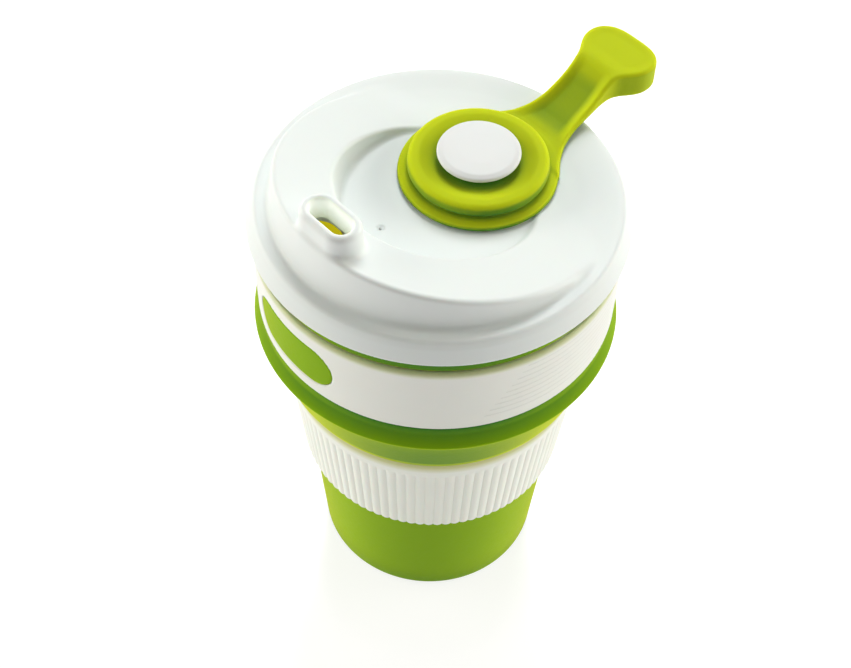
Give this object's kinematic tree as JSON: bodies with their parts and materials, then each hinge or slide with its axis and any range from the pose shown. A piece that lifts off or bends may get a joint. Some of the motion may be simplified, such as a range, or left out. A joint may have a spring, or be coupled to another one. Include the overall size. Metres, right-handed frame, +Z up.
{
  "type": "collapsible travel cup",
  "caption": "Green silicone folding cup with ivory grip collar and ribbed sleeve, white drinking lid with spout, and a swivelling silicone stopper.",
  "frame": {"origin": "centre of the flat underside of the cup's foot, on the cup's axis", "axes": "+Z up along the cup's axis, -Y towards the lid's drinking spout, +Y towards the parked stopper, +X to the right when the spout is towards the viewer"},
  "size_m": [0.092, 0.113, 0.1488],
  "materials": {
    "green_silicone": "satin silicone, slightly translucent",
    "ivory_plastic": "satin",
    "white_plastic": "polished",
    "seal_silicone": "satin"
  },
  "bodies": {
    "lower_cup": {"cup_base": "green_silicone", "ribbed_sleeve": "ivory_plastic"},
    "upper_cup": {"cup_upper": "green_silicone", "grip_collar": "ivory_plastic", "fold_wall": "green_silicone"},
    "lid": {"lid_shell": "white_plastic", "lid_seal": "seal_silicone", "rivet_button": "white_plastic", "rivet_clip": "white_plastic"},
    "stopper_hub": {"stopper_ring": "green_silicone"},
    "stopper_tip": {"stopper_cap": "green_silicone", "stopper_arm": "green_silicone"}
  },
  "joints": [
    {"name": "collapse", "type": "slide", "parent": "lower_cup", "child": "upper_cup", "axis": [0, 0, -1], "range_m": [0, 0.032], "deforming": ["fold_wall"]},
    {"name": "lid_lift", "type": "slide", "parent": "upper_cup", "child": "lid", "axis": [0, 0, 1], "range_m": [0, 0.06]},
    {"name": "stopper_swivel", "type": "hinge", "parent": "lid", "child": "stopper_hub", "pos_m": [0, 0.0124, 0.1335], "axis": [0, 0, 1], "range_deg": [0, 180]},
    {"name": "stopper_lift", "type": "slide", "parent": "stopper_hub", "child": "stopper_tip", "axis": [0, -0.1682, 0.9858], "range_m": [0, 0.0175], "deforming": ["stopper_arm"]}
  ],
  "couplings": [
    {"joint": "stopper_lift", "follows": "stopper_swivel", "m_per_rad": 0.005489}
  ]
}
